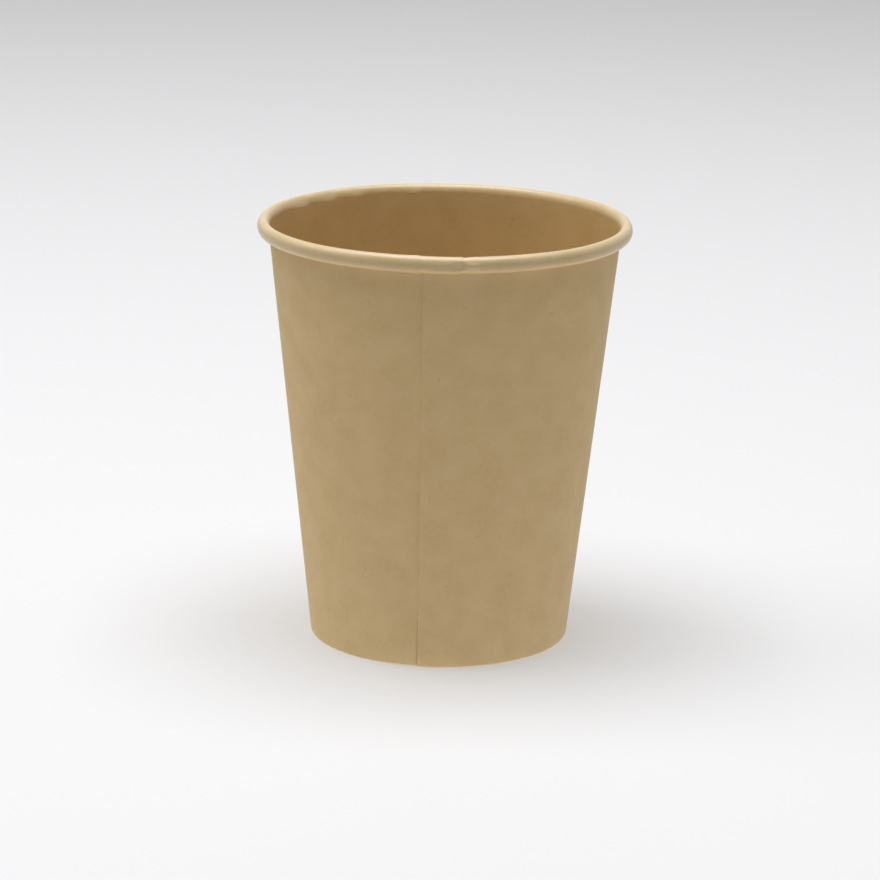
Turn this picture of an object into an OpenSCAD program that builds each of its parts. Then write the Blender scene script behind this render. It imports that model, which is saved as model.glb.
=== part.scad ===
// Single-wall paper cup for hot drinks, in two pieces of board.
// The sidewall is one fan-shaped blank. It is wrapped into a cone and lapped down the front, its top
// edge is curled outwards into the rolled rim, and its bottom edge is folded up inside the foot.
// The base disc is a shallow cap, whose skirt is trapped in that fold.
// Millimetres, +Z up, with the origin on the table under the middle of the cup and the seam towards -Y.

/* [Cup] */
// Diameter across the outside of the rolled rim
rim_d = 80; // [74:0.5:92]
// Diameter across the outside of the foot, where the wall reaches the table
foot_d = 56; // [50:0.5:62]
// Overall height, from the table to the top of the rim
cup_h = 91.5; // [75:0.5:120]

/* [Board] */
// Thickness of the sidewall board
wall_t = 0.38; // [0.3:0.01:0.46]
// Thickness of the base board
base_t = 0.3; // [0.24:0.01:0.42]
// Film of sealant between two layers of board
seal_gap = 0.03; // [0.02:0.01:0.05]

/* [Rolled rim] */
// Width of the roll, from the inside of the wall to the outer edge
roll_w = 2.7; // [2.5:0.05:3.4]
// Height of the roll
roll_h = 3.55; // [3:0.05:4.4]
// Turn of the board tucked up inside the roll, in degrees past a full turn
roll_tuck = 45; // [20:5:60]
// Gap between the wall and the board tucked up beside it
tuck_gap = 0.1; // [0.06:0.02:0.2]

/* [Side seam] */
// Overlap of the blank's two straight edges, which is as wide all the way up
lap_w = 8; // [6:0.1:11]
// Height of the step that the outer edge makes, after the seal has been pressed
lap_step = 0.3; // [0.2:0.02:0.36]
// How much the doubled board swells the rolled rim
rim_swell = 0.12; // [0.06:0.02:0.2]
// Direction of the middle of the overlap, in degrees round from +X
lap_at = -91; // [-135:1:-45]

/* [Foot] */
// Height of the base disc's underside above the table
recess_h = 7.5; // [5.5:0.5:10]
// Gap between the base disc and the top of the folded-up board
fold_clear = 0.9; // [0.6:0.1:1.5]
// Radius inside the two creases of the fold
crease_r = 0.05; // [0.03:0.01:0.1]
// Radius of the base disc's rim, on the centre of its board
disc_r = 0.75; // [0.6:0.05:0.85]
// Gap between the skirt's cut edge and the bottom of the fold
skirt_clear = 0.3; // [0.2:0.05:0.6]

/* [Hidden] */
$fn = 180;
BAMBOO = [0.72, 0.63, 0.46];
ARC_STEPS = 6;        // stretches that stand for a small crease or corner
ROLL_STEP = 8;        // degrees of the roll between two points
GRAZE = 0.02;         // how far a flat is set past a round face that it would only just touch
LAP_TURNS = 330;      // degrees of the roll that show its doubled board
SWELL_TURNS = 60;     // degrees of the roll over which the swelling comes up, and goes down again
STEP_RUNOUT = 2;      // height over which the step inside the cup runs out below the roll
FAR = 2 * cup_h;      // longer than anything that it cuts

function unit(v) = v / norm(v);
function left_of(v) = [-v.y, v.x];
function turned(v, a) = [v.x * cos(a) - v.y * sin(a), v.x * sin(a) + v.y * cos(a)];
function backwards(list) = [for (i = [len(list) - 1 : -1 : 0]) list[i]];
function eased(x) = x <= 0 ? 0 : x >= 1 ? 1 : x * x * (3 - 2 * x);

// A corner at q, between p and s, rounded with radius r
function rounded(p, q, s, r) =
    let (a = unit(q - p), b = unit(s - q))
    let (turn = acos(a * b), side = sign(a.x * b.y - a.y * b.x))
    let (centre = q - a * r * tan(turn / 2) + side * r * left_of(a))
    [for (k = [0 : ARC_STEPS]) centre - side * r * left_of(turned(a, side * turn * k / ARC_STEPS))];

// A path moved to the left of its own direction, with mitred corners.
// It moves by d, or by a list with one value for each point.
function beside(path, d) =
    let (last = len(path) - 1)
    [for (i = [0 : last])
        let (a = unit(path[max(i, 1)] - path[max(i, 1) - 1]))
        let (b = unit(path[min(i, last - 1) + 1] - path[min(i, last - 1)]))
        let (n = left_of(unit(a + b)))
        path[i] + n * (is_list(d) ? d[i] : d) / (n * left_of(a))];

// The outline between two such paths
function strip(path, d_right, d_left) = concat(beside(path, d_left), backwards(beside(path, d_right)));

// The roll is an oval, and its last quarter turn draws in so that the edge passes inside the wall
roll_a = (roll_w - wall_t) / 2;
roll_b = (roll_h - wall_t) / 2;
roll_c = [rim_d / 2 - roll_w / 2, cup_h - roll_h / 2];
function drawn_in(turn) = (wall_t + tuck_gap) * eased((turn - 270) / 90);
function roll_point(turn) =
    roll_c + [-(roll_a - drawn_in(turn)) * cos(turn), (roll_b - drawn_in(turn)) * sin(turn)];

// The wall runs straight from the outer crease of the foot to where it touches the roll's oval
outer_crease = [foot_d / 2 - wall_t / 2, wall_t / 2];
to_roll = [(outer_crease.x - roll_c.x) / roll_a, (outer_crease.y - roll_c.y) / roll_b];
roll_start = acos(1 / norm(to_roll)) - 180 - atan2(to_roll.y, to_roll.x);
wall_dir = unit(roll_point(roll_start) - outer_crease);
taper = atan2(wall_dir.x, wall_dir.y);

// The fold takes the skirt between its two layers, with sealant on both sides
fold_pitch = wall_t + base_t + 2 * seal_gap;
inner_crease = outer_crease - [fold_pitch / cos(taper), 0];
fold_top = inner_crease + wall_dir * (recess_h - fold_clear - inner_crease.y) / cos(taper);
crease_mid_r = crease_r + wall_t / 2;

roll_path = [for (t = [roll_start : ROLL_STEP : 360 + roll_tuck]) roll_point(t)];
foot_path = concat(
    rounded(fold_top, inner_crease, outer_crease, crease_mid_r),
    rounded(inner_crease, outer_crease, roll_path[0], crease_mid_r));
board_path = concat([fold_top], foot_path, roll_path);

// The wall's centre line at height z
function wall_at(z) = outer_crease + wall_dir * (z - outer_crease.y) / wall_dir.y;

// Radii on the table of the wall's two faces and of the fold's inner face, each carried on down its slope
half_t = wall_t / 2 / cos(taper);
outer_face_r = wall_at(0).x + half_t;
inner_face_r = wall_at(0).x - half_t;
fold_face_r = inner_face_r - fold_pitch / cos(taper);

// Past the hidden inner edge the board comes back to the round along a flat that just touches it.
// These turns are from the overlap's middle to the edge and to the end of that flat, at the foot.
edge_a = asin(lap_w / 2 / outer_face_r);
ramp_a = edge_a + acos(outer_face_r / (outer_face_r + lap_step));

// One profile carried round the cup, over the overlap and past both of its edges by as much as the flat
module swept() {
    rotate([0, 0, lap_at - ramp_a]) rotate_extrude(angle = 2 * ramp_a) children();
}

// Everything past the outer edge of the overlap, -1, or past the inner edge, 1
module past_edge(way) {
    rotate([0, 0, lap_at]) translate([0, way * (lap_w / 2 + FAR), 0]) cube(2 * FAR, center = true);
}

// Everything further out than a plane that faces one way and leans as the wall does
module beyond(facing, r) {
    rotate([0, 0, facing]) translate([r, 0, 0]) rotate([0, taper, 0])
        translate([0, -FAR / 2, -FAR / 2]) cube(FAR);
}

// The quarter of space that lies nearer the axis than such a plane, and past the way that it faces
module within(facing, r) {
    rotate([0, 0, facing]) translate([r, 0, 0]) rotate([0, taper, 0])
        translate([-FAR, 0, -FAR / 2]) cube(FAR);
}

// The blank, wrapped once round: fold, wall and roll in one strip of board
module wrap() {
    rotate_extrude() polygon(strip(board_path, -wall_t / 2, wall_t / 2));
}

// The outer flap follows the fold and the wall, and goes up behind the roll.
// Under the foot it is pressed into the fold, so the foot stays flat.
module flap_profile() {
    flap_path = concat([fold_top], foot_path, [wall_at(roll_c.y)]);
    intersection() {
        polygon(strip(flap_path, -wall_t / 2 - lap_step, 0));
        square(FAR);
    }
}

module flap() {
    difference() {
        swept() flap_profile();
        past_edge(-1);
        beyond(lap_at + ramp_a, outer_face_r - GRAZE);
        within(lap_at + edge_a, fold_face_r - lap_step / cos(taper) - GRAZE);
    }
}

// Inside the cup, the board past the inner edge stands back by the step and comes in to the round again
module inner_step() {
    path = [wall_at(recess_h + base_t), wall_at(roll_c.y - STEP_RUNOUT), wall_at(roll_c.y)];
    face = wall_t / 2;
    intersection() {
        past_edge(1);
        difference() {
            swept()
                polygon(strip(path, [face - lap_step, face - lap_step, face + GRAZE], face + lap_step));
            beyond(lap_at + ramp_a, inner_face_r - GRAZE);
        }
    }
}

// The doubled board swells the roll, from nothing inside the mouth to its full height on top,
// and down to nothing again inside the roll
function swell_at(turn) =
    rim_swell * eased((turn - roll_start) / SWELL_TURNS) * eased((LAP_TURNS - turn) / SWELL_TURNS);

module rim_lap() {
    turns = [for (t = [roll_start : ROLL_STEP : LAP_TURNS]) t];
    outline = strip([for (t = turns) roll_point(t)], 0, [for (t = turns) wall_t / 2 + swell_at(t)]);
    difference() {
        swept() polygon(outline);
        past_edge(-1);
        past_edge(1);
    }
}

module sidewall() {
    color(BAMBOO) difference() {
        union() {
            wrap();
            flap();
            rim_lap();
        }
        inner_step();
    }
}

// A flat disc with its edge drawn down into a skirt, which leans as the wall does
module base_disc() {
    inset = (wall_t / 2 + seal_gap + base_t / 2) / cos(taper);
    disc_z = recess_h + base_t / 2;
    rim = wall_at(disc_z) - [inset, 0];
    hem_z = wall_t + skirt_clear;
    hem = wall_at(hem_z) - [inset, 0];
    path = concat([[0, disc_z]], rounded([0, disc_z], rim, hem, disc_r), [hem]);
    color(BAMBOO) rotate_extrude() polygon(strip(path, -base_t / 2, base_t / 2));
}

sidewall();
base_disc();
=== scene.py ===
import math

import bmesh
import bpy
import numpy as np
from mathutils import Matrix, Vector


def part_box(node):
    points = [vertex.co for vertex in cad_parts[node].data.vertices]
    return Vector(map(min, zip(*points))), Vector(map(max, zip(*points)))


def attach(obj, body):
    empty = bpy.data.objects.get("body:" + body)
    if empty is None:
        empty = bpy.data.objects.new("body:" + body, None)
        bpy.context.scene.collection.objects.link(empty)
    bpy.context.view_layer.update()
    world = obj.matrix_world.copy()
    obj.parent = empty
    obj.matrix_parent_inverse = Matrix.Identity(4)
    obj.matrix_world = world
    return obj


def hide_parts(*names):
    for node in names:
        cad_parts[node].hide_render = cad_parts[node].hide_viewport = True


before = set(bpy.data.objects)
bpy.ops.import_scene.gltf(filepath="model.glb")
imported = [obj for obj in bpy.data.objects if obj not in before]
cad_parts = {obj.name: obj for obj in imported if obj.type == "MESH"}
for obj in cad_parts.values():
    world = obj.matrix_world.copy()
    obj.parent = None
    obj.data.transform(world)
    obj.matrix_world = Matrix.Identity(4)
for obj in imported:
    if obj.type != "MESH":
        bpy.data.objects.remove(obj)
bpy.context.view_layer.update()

# The base disc.
# A round of thin board, pressed so that its edge turns down into a short skirt. It is put in first, and
# the sidewall's foot is later folded up inside the skirt and sealed to it.
MM = 0.001                                     # the scene is in metres
CUP_H = 91.5 * MM
RIM_D = 80 * MM
FOOT_D = 56 * MM
ROLL_W = 2.7 * MM                              # the rolled rim, across
ROLL_H = 3.55 * MM                             # the rolled rim, from top to bottom
WALL_T = 0.38 * MM
BASE_T = 0.3 * MM
SEAL_T = 0.03 * MM                             # sealant on each side of the skirt
DISC_CORNER = 0.75 * MM                        # radius on the middle of the board where it turns down
DISC_STEPS = 26                                # rings of the flat of the disc
DISC_COLUMNS = 240                             # steps round the disc
CUT_ANGLE = math.radians(40)                   # an edge of the board that is sharper than this stays sharp
base_low, base_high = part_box("base_disc")

# The cup's side is a straight line in section, from the foot's outer crease to where it touches the
# roll's oval. The skirt leans with it, so the line is worked out here.
roll_a, roll_b = (ROLL_W - WALL_T) / 2, (ROLL_H - WALL_T) / 2
roll_middle = np.array([(RIM_D - ROLL_W) / 2, CUP_H - ROLL_H / 2])
outer_crease = np.array([(FOOT_D - WALL_T) / 2, WALL_T / 2])
scaled = (outer_crease - roll_middle) / (roll_a, roll_b)
roll_start = math.acos(1 / np.hypot(*scaled)) - math.pi - math.atan2(scaled[1], scaled[0])
touch = roll_middle + (-roll_a * math.cos(roll_start), roll_b * math.sin(roll_start))
side = (touch - outer_crease) / np.hypot(*(touch - outer_crease))


def on_side(height, inwards=0.0):
    """The point of the side's middle line at a height, moved towards the axis."""
    return outer_crease + side * (height - outer_crease[1]) / side[1] - (inwards / side[1], 0)


def straight(start, end, steps):
    """Evenly spaced points from start up to, and without, end."""
    return start + (end - start) * np.linspace(0, 1, steps, endpoint=False)[:, None]


def rounded(before, corner, after, radius, steps):
    """The arc of that radius that touches both legs of a corner, from the first leg to the second."""
    a, b = ((q - p) / np.hypot(*(q - p)) for p, q in ((before, corner), (corner, after)))
    turn = math.atan2(a[0] * b[1] - a[1] * b[0], a @ b)
    bend = math.copysign(radius, turn)
    centre = corner - a * radius * math.tan(abs(turn) / 2) + bend * np.array([-a[1], a[0]])
    angles = turn * np.linspace(0, 1, steps)
    return centre - bend * np.stack([-a[1] * np.cos(angles) - a[0] * np.sin(angles),
                                     a[0] * np.cos(angles) - a[1] * np.sin(angles)], 1)


def left_of(path):
    """Unit vectors to the left of a path's direction, which is the mean of its two neighbouring steps."""
    step = np.diff(path, axis=0)
    step /= np.linalg.norm(step, axis=1)[:, None]
    ahead = np.vstack([step[:1], step[:-1] + step[1:], step[-1:]])
    ahead /= np.linalg.norm(ahead, axis=1)[:, None]
    return np.stack([-ahead[:, 1], ahead[:, 0]], 1)


def carried_round(section, angles):
    """A grid of points from a grid of (radius, height): each column is turned to its own direction."""
    r, z = section[..., 0], section[..., 1]
    return np.stack(np.broadcast_arrays(r * np.cos(angles), r * np.sin(angles), z), -1)


def board(name, left_face, right_face, flat, joined):
    """A closed sheet of board from the two grids of points of its faces. Rows follow the profile and
    columns go round the cup. The faces are quads between neighbours, and strips of quads join the two
    grids along every open edge. flat holds each grid point's place on the flat blank, as the UV map.
    joined says that the last column meets the first, and that the first row is one point. The left face
    is the board's coated one. It takes the first material, the right face the second, and the cut edges
    the third."""
    rows, columns = left_face.shape[:2]
    at = np.arange(rows * columns).reshape(rows, columns)
    if joined:
        at = np.hstack([at, at[:, :1]])
    quads = np.stack([at[:-1, :-1], at[1:, :-1], at[1:, 1:], at[:-1, 1:]], -1).reshape(-1, 4)
    edges = [at[-1]] if joined else [at[0, ::-1], at[-1], at[:, 0], at[::-1, -1]]
    other = rows * columns
    strips = [np.stack([e[1:], e[:-1], e[:-1] + other, e[1:] + other], 1) for e in edges]
    faces = np.vstack([quads, quads[:, ::-1] + other, *strips])
    mesh = bpy.data.meshes.new(name)
    points = np.concatenate([left_face, right_face]).reshape(-1, 3)
    mesh.from_pydata(points.tolist(), [], faces.tolist())
    paper = np.minimum(np.arange(len(faces)) // len(quads), 2)
    mesh.polygons.foreach_set("material_index", paper.astype(np.int32))
    layer = mesh.uv_layers.new(name="blank")
    corners = np.zeros(len(mesh.loops), np.int32)
    mesh.loops.foreach_get("vertex_index", corners)
    layer.uv.foreach_set("vector", np.tile(flat.reshape(-1, 2), (2, 1))[corners].ravel())
    if joined:
        whole = bmesh.new()
        whole.from_mesh(mesh)
        bmesh.ops.remove_doubles(whole, verts=whole.verts, dist=0.001 * MM)
        whole.to_mesh(mesh)
        whole.free()
    mesh.shade_smooth()
    mesh.set_sharp_from_angle(angle=CUT_ANGLE)
    piece = bpy.data.objects.new(name, mesh)
    bpy.context.scene.collection.objects.link(piece)
    return piece


disc_z = base_high.z - BASE_T / 2
inset = (WALL_T + BASE_T) / 2 + SEAL_T
disc_corner = on_side(disc_z, inset)
hem = on_side(base_low.z, inset)
disc_middle = np.array([0, disc_z])
turned_down = rounded(disc_middle, disc_corner, hem, DISC_CORNER, 9)
disc_path = np.vstack([straight(disc_middle, turned_down[0], DISC_STEPS), turned_down,
                       straight(turned_down[-1], hem, 6)[1:], hem])
disc_left = left_of(disc_path)
disc_angles = np.radians(np.arange(0, 360, 360 / DISC_COLUMNS))
disc_run = np.concatenate([[0], np.cumsum(np.hypot(*np.diff(disc_path, axis=0).T))])
disc_flat = np.stack([disc_run[:, None] * np.cos(disc_angles), disc_run[:, None] * np.sin(disc_angles)], -1)
disc_faces = [carried_round((disc_path + side_of * disc_left * BASE_T / 2)[:, None], disc_angles)
              for side_of in (1, -1)]
base = board("base_disc_board", *disc_faces, disc_flat, joined=True)


def input_of(node, name, value):
    """Sets one socket of a node, to a value or to another node's output."""
    if isinstance(value, bpy.types.NodeSocket):
        node.id_data.links.new(value, node.inputs[name])
    else:
        node.inputs[name].default_value = value


def bamboo_paper(name, tone, coated, painted_highlight_span=None):
    """Bamboo-coloured paper. Soft clouds, a finer mottle and thin wavy fibres vary its colour a little,
    and here and there lies a small dark fleck. The outside is bare and matte. The inside has a thin
    clear film, which gives it a soft gloss. On the coated face a painted highlight makes the roll paler
    where it faces up: the span gives the places along the blank between which that comes up and fades again."""
    paper = bpy.data.materials.new(name)
    paper.use_nodes = True
    nodes = paper.node_tree.nodes
    surface = nodes["Principled BSDF"]
    place = nodes.new("ShaderNodeUVMap")
    place.uv_map = "blank"

    def across(stretch, shift):
        """The place on the blank, stretched along or across it, and shifted to a fresh patch."""
        moved = nodes.new("ShaderNodeMapping")
        input_of(moved, "Vector", place.outputs["UV"])
        input_of(moved, "Scale", (*stretch, 1))
        input_of(moved, "Location", (shift, shift, 0))
        return moved.outputs["Vector"]

    def clouds(scale, detail, stretch=(1, 1), shift=0.0):
        """Soft noise from 0 to 1, with that many clouds to the metre."""
        cloud = nodes.new("ShaderNodeTexNoise")
        input_of(cloud, "Vector", across(stretch, shift))
        input_of(cloud, "Scale", scale)
        input_of(cloud, "Detail", detail)
        return cloud.outputs["Fac"]

    def worked(kind, *values):
        """One step of arithmetic on numbers or on other nodes' outputs."""
        step = nodes.new("ShaderNodeMath")
        step.operation = kind
        for socket, value in enumerate(values):
            input_of(step, socket, value)
        return step.outputs[0]

    def spread(value, low, high, to_low, to_high):
        """A smooth S that takes low to to_low and high to to_high, and is level outside them."""
        between = nodes.new("ShaderNodeMapRange")
        between.interpolation_type = "SMOOTHSTEP"
        input_of(between, "Value", value)
        for socket, number in (("From Min", low), ("From Max", high),
                               ("To Min", to_low), ("To Max", to_high)):
            input_of(between, socket, number)
        return between.outputs["Result"]

    def fibres(scale, shift, stretch):
        """Thin wavy lines where a cloud passes its middle value, broken up by a second cloud."""
        near = worked("ABSOLUTE", worked("SUBTRACT", clouds(scale, 1, stretch, shift), 0.5))
        line = spread(near, 0, 0.012, 1, 0)
        return worked("MULTIPLY", line, spread(clouds(scale * 0.8, 0, (1, 1), shift + 5), 0.5, 0.62, 0, 1))

    def flecks(scale, shift, stretch, share):
        """Small spots, one in each cell that has its turn, of uneven size and depth."""
        cells = nodes.new("ShaderNodeTexVoronoi")
        input_of(cells, "Vector", across(stretch, shift))
        input_of(cells, "Scale", scale)
        chance = nodes.new("ShaderNodeSeparateColor")
        input_of(chance, "Color", cells.outputs["Color"])
        size = spread(chance.outputs["Red"], 1 - share, 1, 0, 0.09)
        spot = spread(worked("DIVIDE", cells.outputs["Distance"], worked("ADD", size, 0.0001)), 0.5, 1, 1, 0)
        return worked("MULTIPLY", spot, spread(chance.outputs["Green"], 0, 1, *FLECK_DEPTH[coated]))

    def mixed(share, first, second):
        """The first colour, with that share of the second in its place."""
        mix = nodes.new("ShaderNodeMix")
        mix.data_type = "RGBA"
        input_of(mix, 0, share)
        input_of(mix, 6, first)
        input_of(mix, 7, second)
        return mix.outputs[2]

    def toned(*shares):
        """The paper's own colour, with its red, green and blue multiplied by the shares."""
        return (*(np.array(tone) * shares), 1)

    mottle = clouds(900, 2, shift=2.0)
    pale_fibres = fibres(420, 3.0, (1, 1.6))
    dark_fibres = fibres(330, 8.0, (1.5, 1))
    cloudy = spread(clouds(150, 3), 0.25, 0.75, 0, 1)
    colour = mixed(cloudy, toned(0.955, 0.942, 0.905), toned(1.045, 1.058, 1.095))
    mottled = worked("MULTIPLY", spread(mottle, 0.3, 0.7, 0, 1), 0.4)
    colour = mixed(mottled, colour, toned(1.055, 1.075, 1.125))
    colour = mixed(worked("MULTIPLY", pale_fibres, 0.35), colour, toned(1.12, 1.16, 1.25))
    colour = mixed(worked("MULTIPLY", dark_fibres, 0.3), colour, toned(0.82, 0.78, 0.7))
    for scale, shift, stretch, share in ((300, 1.0, (1, 0.4), 0.4), (280, 6.0, (0.4, 1), 0.4),
                                         (420, 4.0, (1, 1), 0.3)):
        colour = mixed(flecks(scale, shift, stretch, share), colour, toned(0.6, 0.52, 0.42))
    # The painted highlight: a whitish paleness painted over the top of the roll, where the overhead light
    # falls, with a share of it left on the underside.
    if painted_highlight_span:
        along = nodes.new("ShaderNodeSeparateXYZ")
        input_of(along, "Vector", place.outputs["UV"])
        painted_highlight_mask = worked("MULTIPLY", spread(along.outputs["Y"], *painted_highlight_span[:2], 0, 1),
                        spread(along.outputs["Y"], *painted_highlight_span[2:], 1, PAINTED_HIGHLIGHT_LAST))
        colour = mixed(painted_highlight_mask, colour, (*PAINTED_HIGHLIGHT_TINT, 1))
        colour.node.blend_type = "MULTIPLY"
    input_of(surface, "Base Color", colour)
    gloss, rough, film, relief = (0.5, 0.4, 0.4, 0.25) if coated else (0.4, 0.7, 0, 0.5)
    surface.inputs["Coat Weight"].default_value = film
    surface.inputs["Coat Roughness"].default_value = 0.3
    input_of(surface, "Roughness", spread(mottle, 0.3, 0.7, rough - 0.06, rough + 0.06))
    surface.inputs["Specular IOR Level"].default_value = gloss
    bump = nodes.new("ShaderNodeBump")
    input_of(bump, "Height", worked("ADD", mottle, worked("MULTIPLY", pale_fibres, 0.5)))
    input_of(bump, "Strength", relief)
    input_of(bump, "Distance", 0.04 * MM)
    input_of(surface, "Normal", bump.outputs["Normal"])
    return paper


BARE = (0.605, 0.43, 0.207)                    # the board as linear red, green and blue
COATED = (0.575, 0.395, 0.17)                  # and under its film, which deepens it
CUT = (0.3, 0.2, 0.09)                         # and on its rough cut edges
PAINTED_HIGHLIGHT_TINT = (0.995, 1.095, 1.33)            # painted highlight: what the roll's top multiplies the colour by
PAINTED_HIGHLIGHT_LAST = 0.4                              # share of that left where it has faded
FLECK_DEPTH = {True: (0.06, 0.3),              # of the faintest and the deepest fleck, if coated
               False: (0.1, 0.42)}             # and if bare


def papered(piece, slot, painted_highlight_span=None):
    """Gives a piece of board its papers: the coated face, the bare one, and the cut edges."""
    for name, tone, coated in (("coated_face", COATED, True), ("bare_face", BARE, False),
                               ("cut_edge", CUT, False)):
        piece.data.materials.append(bamboo_paper(f"{slot}_{name}", tone, coated, coated and painted_highlight_span))


papered(base, "base_board")
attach(base, "root")
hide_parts("base_disc")

# The sidewall.
# One fan-shaped blank of board. It is wrapped into a cone with its two straight edges lapped and
# sealed, its bottom edge is folded up inside the skirt, and its top edge is curled into the rim.
LAP_AT = math.radians(-90.6)                   # direction of the middle of the lap
LAP_W = 8 * MM                                 # the lap, which is as wide all the way up
LAP_STEP = 0.3 * MM                            # from one layer to the other, once pressed
LAP_T = 0.285 * MM                             # each layer in the lap, once pressed
ROLL_STEP = 0.12 * MM                          # from layer to layer in the roll, where they are crushed
ROLL_LAP_T = 0.95 * ROLL_STEP                  # each layer there
ROLL_GIVES = 0.65                              # share of that step by which the outer layer gives way
ROLL_UP = 0.085 * MM                           # how far both lie out there, to be flush with the roll
ROLL_TAKES = math.radians(80)                  # turn of the roll over which they come to lie so
PRESSED = ((5.1, 2.6, 3.2, 0.6, 0.19),         # where the roll is pressed flat, then out to a ridge, beside
           (9.0, 2.3, 3.2, 0.6, -0.16),        # the inner edge, and bulges over the lap: degrees from the
           (0.8, 6.0, 4.05, 0.75, -0.15))      # lap's middle and each way, turn and each way, depth in mm
PRESSED_FLANK = 1.6                            # how steeply these end, round the cup
RAMP = math.radians(9)                         # how far the outer layer takes to come down to the round
FOOT_RAMP = math.radians(22)                   # how far the inner layer takes to rise at the foot
RIM_RAMP = math.radians(7)                     # and in the roll
DIP_RAMP = math.radians(4.5)                   # how far the outer layer takes to come up to the round there
BESIDE_FLAP = 0.02                             # turn between the flap's edge and the column next to it
PRESS_RAMP = math.radians(2)                   # how far the board takes to swell again beside the lap
FOLD_TOP = 6.62 * MM                           # height of the fold's cut edge inside the foot
CREASE = 0.05 * MM + WALL_T / 2                # radius of the fold's creases, on the middle of the board
TUCK = math.radians(45)                        # how far past a full turn the roll is tucked
TUCK_IN = WALL_T + 0.1 * MM                    # how far the tuck is drawn in to pass inside the wall
ROLL_ROWS = ((roll_start, 0.24, 2),            # rows of the roll: from turn, to turn, and how many
             (0.24, 1.08, 28), (1.08, 2 * math.pi + TUCK, 34))
RIM_EARLY = 0.45 * MM                          # how far below the oval the wall begins to bend into the roll
RIM_WANDER = 0.35                              # share of that by which it wanders
RIM_SCUFF = 0.4 * MM                           # and how much further where the bend is rubbed down
SCUFFS = ((98, 7, 0.5), (118.5, 8, 0.7),       # where it is: degrees from +X, degrees until it has faded,
          (129.5, 12, 0.9), (142.5, 16, 1))    # and share of that depth
SCUFF_RISE, SCUFF_HOLD = 2, 1.5                # degrees in which one comes up, and after which it fades
SCUFF_FLAT = 0.6                               # share by which it flattens the bend
PAINTED_HIGHLIGHT_TURNS = np.radians((0, 65, 135, 200))     # turns of the roll between which its painted highlight comes up, and fades again
SUNK = 0.1 * MM                                # how far the top of the roll lies below the oval's
CUT_ROUND = 0.12 * MM                          # how far from a cut edge the board begins to thin
CUT_LOSS = 0.85                                # and how much, as a share of the square of its thickness
LIFT = 0.2 * MM                                # how far the flap's corner stands off at the foot
LIFT_H = 14 * MM                               # height up to which its edge does
LIFT_W = 1.5 * MM                              # width of the strip that does
LIFT_FROM = 0.4 * MM                           # height over which that comes up from the crease
FEATHER = 0.095 * MM                           # and above it, by how much the edge is pressed in on each side
FEATHER_W = 0.5 * MM                           # and how far from the edge
FEATHER_LOW = 0.4                              # share of that at the foot
GROOVE = 0.05 * MM                             # depth of the line that the flap's edge presses in below it
GROOVE_W = 0.25 * MM                           # and its width
GROOVE_FADES = 0.85                            # share by which it is fainter higher up
GROOVE_FROM = 0.6 * LIFT_H                     # height from which it fades, over the height of the lift

fold_pitch = (WALL_T + BASE_T + 2 * SEAL_T) / side[1]
inner_crease = outer_crease - (fold_pitch, 0)
fold_edge = inner_crease + side * (FOLD_TOP - inner_crease[1]) / side[1]


def eased(x):
    """0 below 0, 1 above 1, and a smooth S between them."""
    x = np.clip(x, 0, 1)
    return x * x * (3 - 2 * x)


# The roll: an oval, whose last quarter turn draws in. Its rows lie closest where the wall bends into it.
turns = np.concatenate([straight(a, b, n) for a, b, n in ROLL_ROWS])[:, 0]
turns = np.append(turns, 2 * math.pi + TUCK)
in_roll = slice(-len(turns), None)             # the rows of the profile that are the roll
drawn_in = TUCK_IN * eased((turns - 1.5 * math.pi) / (0.5 * math.pi))
roll = roll_middle + np.stack([-(roll_a - drawn_in) * np.cos(turns), (roll_b - drawn_in) * np.sin(turns)], 1)
crease_arcs = (rounded(fold_edge, inner_crease, outer_crease, CREASE, 7),
               rounded(inner_crease, outer_crease, roll[0], CREASE, 7))
profile = np.vstack([straight(fold_edge, crease_arcs[0][0], 5), *crease_arcs,
                     straight(crease_arcs[1][-1], roll[0], 26)[1:], roll])
left = left_of(profile)
height = profile[:, 1]
run = np.concatenate([[0], np.cumsum(np.hypot(*np.diff(profile, axis=0).T))])

# The blank goes round from its outer edge, over the inner one, once round, under the outer one, and on
# to the inner one. Both edges are straight and parallel, so each column has its turn from the middle
# of the lap, and a share of the turn by which the edges stand away from that middle at each radius.
# Columns lie closest beside the edges.
once = 2 * math.pi
stops = np.array([[0, -1], [0, -0.985], [0, -0.97], [0, 0.97], [0, 0.985], [0, 1], [RAMP, 1],
                  [once - FOOT_RAMP, -1], [once - BESIDE_FLAP, -1], [once, -1], [once, -0.97],
                  [once, 0.97], [once, 0.985], [once, 1]])
counts = (4, 2, 24, 2, 3, 20, 270, 38, 8, 3, 24, 2, 4)
columns = np.vstack([*(straight(a, b, n) for a, b, n in zip(stops[:-1], stops[1:], counts)), stops[-1:]])
turn, share = columns.T
edge = np.arcsin(LAP_W / 2 / profile[:, :1])
around = turn + share * edge
angles = LAP_AT + around
outer_layer = np.where(turn < math.pi, 1 - eased(turn / RAMP), 0)
inner_layer = eased((turn - once + FOOT_RAMP) / FOOT_RAMP)

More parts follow.
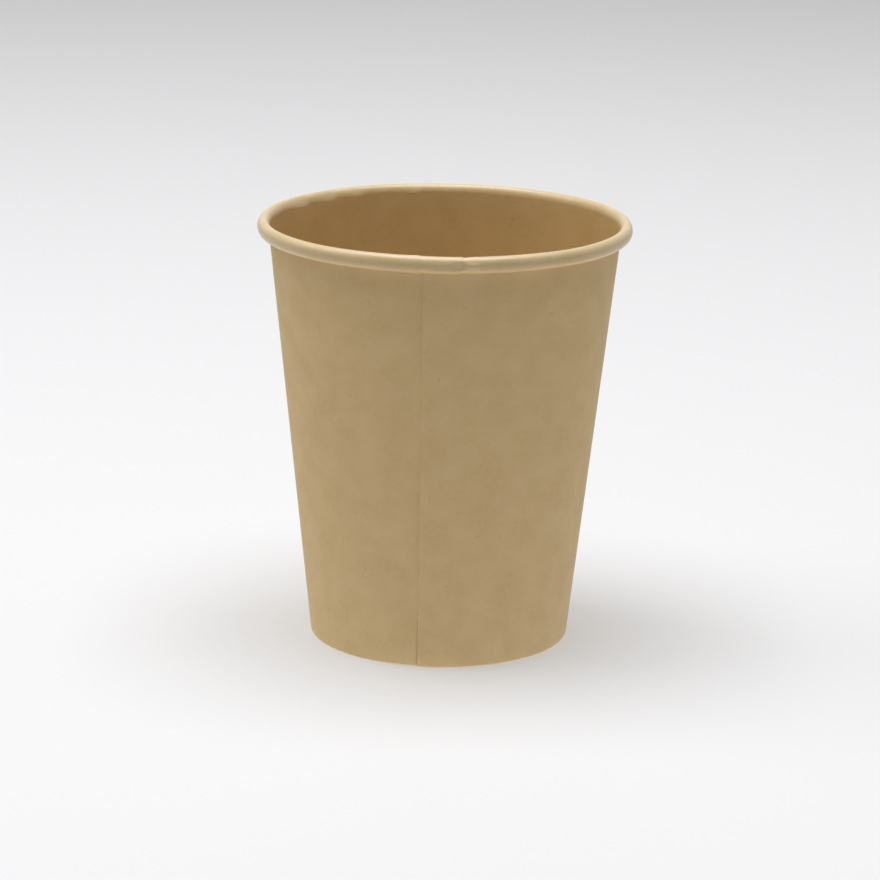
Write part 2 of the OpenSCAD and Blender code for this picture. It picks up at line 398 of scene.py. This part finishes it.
# Up the wall it is the outer layer that stands out. Under the foot the inner one gives way instead, and
# in the roll both do. The outer one's edge is lifted or pressed in, and leaves a groove below it.
on_floor = np.where(height < FOLD_TOP, np.clip(left[:, 1], 0, 1) ** 2, 0)[:, None]
on_roll = np.zeros((len(profile), 1))
on_roll[in_roll, 0] = eased((turns - roll_start) / ROLL_TAKES)
outer_in_roll = np.where(turn < math.pi, 1 - eased(turn / DIP_RAMP), 0)
inner_in_roll = eased((turn - once + RIM_RAMP) / RIM_RAMP)
from_edge = np.where(turn < math.pi, 1 + share, 1 - share) * LAP_W / 2
from_edge = np.where(np.abs(turn - math.pi) > math.pi - 0.001, from_edge, LAP_W)
gives = ROLL_GIVES * outer_in_roll - (1 - ROLL_GIVES) * inner_in_roll
stands_out = (LAP_STEP * (1 - on_floor) * (1 - on_roll) * outer_layer - LAP_STEP * on_floor * inner_layer
              + on_roll * (ROLL_STEP * gives - ROLL_UP * (outer_in_roll + inner_in_roll)))
outer_edge = (turn < 0.001) * (1 - on_floor)
up = eased(height / LIFT_H)[:, None]
off_floor = eased((height - outer_crease[1]) / LIFT_FROM)[:, None]
stands_out += LIFT * outer_edge * (1 - eased(from_edge / LIFT_W)) * off_floor * (1 - up)
feather = (FEATHER * outer_edge * (1 - eased(from_edge / FEATHER_W)) * (1 - on_roll)
           * (FEATHER_LOW + (1 - FEATHER_LOW) * up) * off_floor)
beside_flap = np.where(turn > math.pi, once - turn, 0) * profile[:, :1]
groove = (GROOVE * np.clip(1 - np.abs(2 * beside_flap / GROOVE_W - 1), 0, 1) * (1 - on_floor) * (1 - on_roll)
          * (1 - GROOVE_FADES * eased((height - GROOVE_FROM) / LIFT_H))[:, None] * off_floor)
stands_out -= feather + groove / 2
from_lap = np.degrees(angles - LAP_AT + math.pi) % 360 - 180
for place, width, centre, half, depth in PRESSED:
    stands_out[in_roll] += (depth * MM * (1 - eased(np.abs(turns - centre) / half))[:, None]
                            * eased(PRESSED_FLANK * (1 - np.abs(from_lap[in_roll] - place) / width)))


def waves(*rows):
    """A sum of sine waves round the cup, each with its height, how many go round, and its phase."""
    return sum(high * np.sin(count * angles + phase) for high, count, phase in rows)


# The roll is not quite even: its top wanders a little on its way round, and so does the height at which
# the wall begins to bend into it. Up to the top, its points slide down along the side for that.
degrees = np.degrees(angles)
scuffed = sum(depth * eased((degrees - start) / SCUFF_RISE)
              * (1 - eased((degrees - start - SCUFF_HOLD) / length)) for start, length, depth in SCUFFS)
early = RIM_EARLY * (1 + RIM_WANDER * waves((0.5, 2, 0.6), (0.3, 5, 2), (0.2, 11, 1))) + RIM_SCUFF * scuffed
rise = np.clip(turns, 0, math.pi / 2)[:, None]
slid = early[in_roll] * np.where(turns < math.pi / 2, 1 - np.sin(turns), 0)[:, None]
flattened = (SCUFF_FLAT * scuffed[in_roll] * (roll_b + early[in_roll])
             * (np.sin(rise) + np.cos(rise) - 1) * np.cos(rise))
middle = np.repeat(profile[:, None], len(turn), 1)
middle[in_roll] -= (slid + flattened)[..., None] * side
sunk = SUNK * (1 + waves((0.5, 3, 4), (0.3, 8, 1)))[in_roll]
stands_out[in_roll] += sunk * np.clip(np.sin(turns), 0, 1)[:, None] ** 2 * (turns < math.pi)[:, None]

# The board is pressed thin in the lap, and swells again beside it. Its cut edges are rounded over.
pressed = np.maximum(outer_layer + (outer_in_roll - outer_layer) * on_roll,
                     eased((turn - once + PRESS_RAMP) / PRESS_RAMP))
lap_thickness = LAP_T + (ROLL_LAP_T - LAP_T) * on_roll
thickness = WALL_T + (lap_thickness - WALL_T) * pressed - 2 * feather - groove
thickness = thickness * np.sqrt(1 - CUT_LOSS * np.clip(1 - from_edge / CUT_ROUND, 0, 1) ** 2)
middle = middle - left[:, None] * stands_out[..., None]
faces = [carried_round(middle + side_of * left[:, None] * thickness[..., None] / 2, angles)
         for side_of in (1, -1)]
flat = np.stack([around * on_side(CUP_H / 2)[0], run[:, None] * np.ones_like(around)], -1)
sidewall = board("sidewall_board", *faces, flat, joined=False)
# Where along the blank the roll's painted highlight comes up and fades again.
painted_highlight_span = np.interp(PAINTED_HIGHLIGHT_TURNS, turns, run[in_roll])
papered(sidewall, "sidewall_board", tuple(float(place) for place in painted_highlight_span))
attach(sidewall, "root")
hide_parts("sidewall")

# The floor.
# A plain pale table top that runs far out behind the cup. It is its own backdrop. It takes the cup's
# shadow, and what it throws up at the cup is made with the light.
FLOOR_HALF = 3.0                               # metres from its middle to each side
TABLE_TONE = (0.56, 0.56, 0.57)                # as linear red, green and blue
TABLE_GLOW = 0.2                               # evens out the far, darker part of it
floor_mesh = bpy.data.meshes.new("floor")
floor_mesh.from_pydata([(-FLOOR_HALF, -FLOOR_HALF, 0), (FLOOR_HALF, -FLOOR_HALF, 0),
                        (FLOOR_HALF, FLOOR_HALF, 0), (-FLOOR_HALF, FLOOR_HALF, 0)], [], [(0, 1, 2, 3)])
floor = bpy.data.objects.new("floor", floor_mesh)
bpy.context.scene.collection.objects.link(floor)
table_top = bpy.data.materials.new("table_top")
table_top.use_nodes = True
table_surface = table_top.node_tree.nodes["Principled BSDF"]
for socket, value in (("Base Color", (*TABLE_TONE, 1)), ("Emission Color", (1, 1, 1, 1)),
                      ("Emission Strength", TABLE_GLOW), ("Roughness", 0.7)):
    input_of(table_surface, socket, value)
floor_mesh.materials.append(table_top)
floor.visible_diffuse = False                  # it throws no light on the cup itself,
floor.visible_shadow = False                   # and lets the light from below through

# The light.
# One large soft lamp right above the cup, a smaller one at the upper left, and a faint one at the right.
# The rest is what a white table throws up: a faint lamp under the table top for the part near the cup,
# and the world from below for the rest. Elsewhere the room is dark, but the camera and gloss see it pale.
FROM_BELOW = 0.68                              # what the far table throws up, where 1 is white
PALE_ROOM = 0.8                                # what the camera and glossy faces see
world = bpy.data.worlds.new("room")
world.use_nodes = True
room_nodes = world.node_tree.nodes
room = room_nodes["Background"]
way = room_nodes.new("ShaderNodeTexCoord")
way_z = room_nodes.new("ShaderNodeSeparateXYZ")
input_of(way_z, "Vector", way.outputs["Generated"])
from_below = room_nodes.new("ShaderNodeMapRange")
from_below.interpolation_type = "SMOOTHSTEP"
input_of(from_below, "Value", way_z.outputs["Z"])
for socket, number in (("From Min", 0), ("From Max", -0.2), ("To Min", 0), ("To Max", FROM_BELOW)):
    input_of(from_below, socket, number)
ray = room_nodes.new("ShaderNodeLightPath")
shown = room_nodes.new("ShaderNodeMath")
shown.operation = "MAXIMUM"
input_of(shown, 0, ray.outputs["Is Camera Ray"])
input_of(shown, 1, ray.outputs["Is Glossy Ray"])
level = room_nodes.new("ShaderNodeMix")
input_of(level, 0, shown.outputs[0])
input_of(level, 2, from_below.outputs["Result"])
input_of(level, 3, PALE_ROOM)
input_of(room, "Color", (1, 1, 1, 1))
input_of(room, "Strength", level.outputs[0])
bpy.context.scene.world = world


def softbox(name, place, size, watts):
    """A square lamp at a place in metres that looks at the cup's middle."""
    lamp = bpy.data.lights.new(name, "AREA")
    lamp.shape, lamp.size, lamp.energy = "SQUARE", size, watts
    stand = bpy.data.objects.new(name, lamp)
    stand.location = place
    aim = np.array([0, 0, CUP_H / 2]) - place
    tilt = math.acos(-aim[2] / np.linalg.norm(aim))
    stand.rotation_euler = (tilt, 0, math.atan2(aim[1], aim[0]) - math.pi / 2)
    bpy.context.scene.collection.objects.link(stand)


softbox("overhead", (0, 0, 1.2), size=1.0, watts=16.8)
softbox("left", (-0.7, 0.1, 1.0), size=0.8, watts=5)
softbox("right", (0.7, 0.1, 1.0), size=0.8, watts=1.1)
softbox("near_table", (0, 0, -0.05), size=0.5, watts=0.5)

# The camera.
# It stands in front of the seam and looks down at the cup from a little above, rolled by a degree.
CAMERA_TILT = 0.26539                          # radians below the horizon
CAMERA_ROLL = 0.01656                          # radians
CAMERA_AWAY = 769.45 * MM                      # from the point that it aims at
AIM = (-0.33 * MM, 0, 42.44 * MM)
FOCAL_PIXELS, FRAME_PIXELS = 3550.2, 880
lens = bpy.data.cameras.new("camera")
lens.lens = FOCAL_PIXELS / FRAME_PIXELS * lens.sensor_width
lens.clip_start, lens.clip_end = 0.05, 20
camera = bpy.data.objects.new("camera", lens)
back, up_by = CAMERA_AWAY * math.cos(CAMERA_TILT), CAMERA_AWAY * math.sin(CAMERA_TILT)
camera.location = (AIM[0], AIM[1] - back, AIM[2] + up_by)
camera.rotation_mode = "ZYX"
camera.rotation_euler = (math.pi / 2 - CAMERA_TILT, 0, CAMERA_ROLL)
bpy.context.scene.collection.objects.link(camera)
bpy.context.scene.camera = camera
bpy.context.scene.view_settings.view_transform = "Standard"
